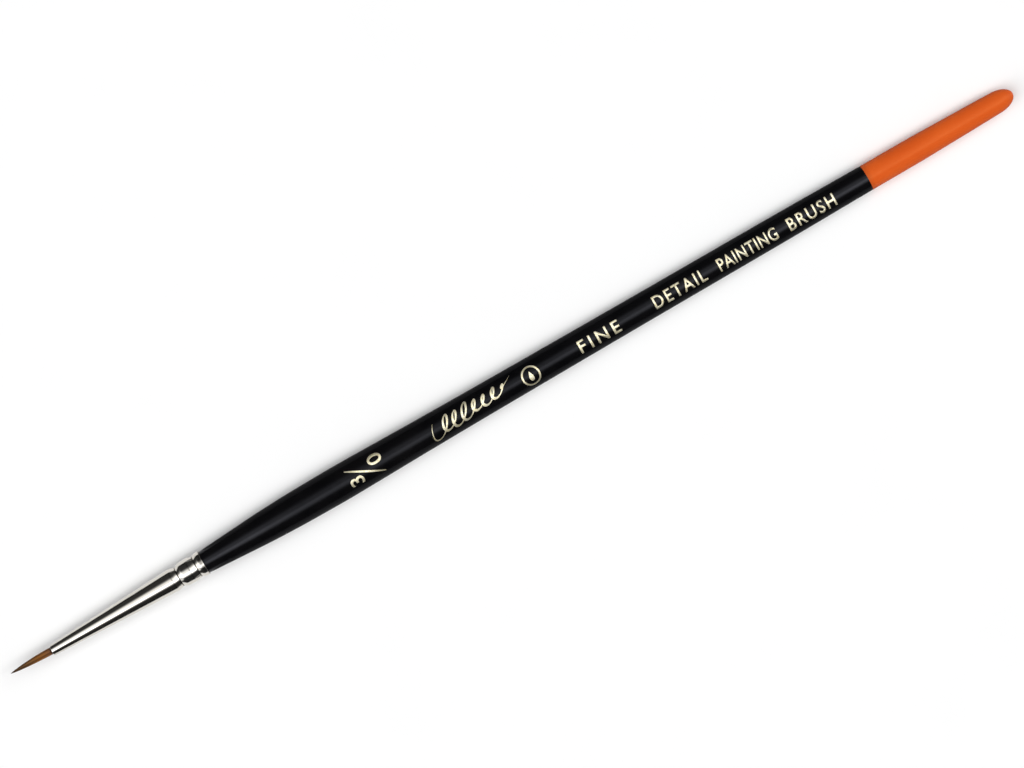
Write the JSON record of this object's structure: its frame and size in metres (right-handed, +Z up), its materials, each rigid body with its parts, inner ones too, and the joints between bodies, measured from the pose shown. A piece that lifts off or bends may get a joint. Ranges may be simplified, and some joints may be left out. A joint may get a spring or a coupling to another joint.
{
  "type": "fine detail brush",
  "caption": "Fine detail brush: a short pointed hair tuft in a crimped metal ferrule on a slim turned handle with a dipped, rounded end.",
  "frame": {"origin": "under the middle of the brush's length, level with the lowest point of its handle, which is the surface it lies on", "axes": "+X from the hair tip to the handle's end, along the line that every piece is turned about; +Z up from the surface, to the side of the handle that carries the foil marks; +Y across, towards the tops of the letters"},
  "size_m": [0.175, 0.0054, 0.0055],
  "materials": {
    "tuft_hair": "satin",
    "root_hair": "matte",
    "thread": "matte",
    "resin": "gloss",
    "nickel_plate": "polished",
    "bare_wood": "satin",
    "black_lacquer": "gloss",
    "orange_lacquer": "gloss"
  },
  "bodies": {
    "handle": {"ferrule": "nickel_plate", "hair_roots": "root_hair", "binding_thread": "thread", "resin_plug": "resin", "wooden_handle": "bare_wood", "black_lacquer": "black_lacquer", "orange_dip": "orange_lacquer"},
    "tuft": {"hair_tuft": "tuft_hair"}
  },
  "joints": [
    {"name": "tuft_bend", "type": "hinge", "parent": "handle", "child": "tuft", "pos_m": [-0.08074, 0, 0.00274], "axis": [0, 0, 1], "range_deg": [-45, 45], "stiffness_Nm_per_rad": 0.00006}
  ]
}
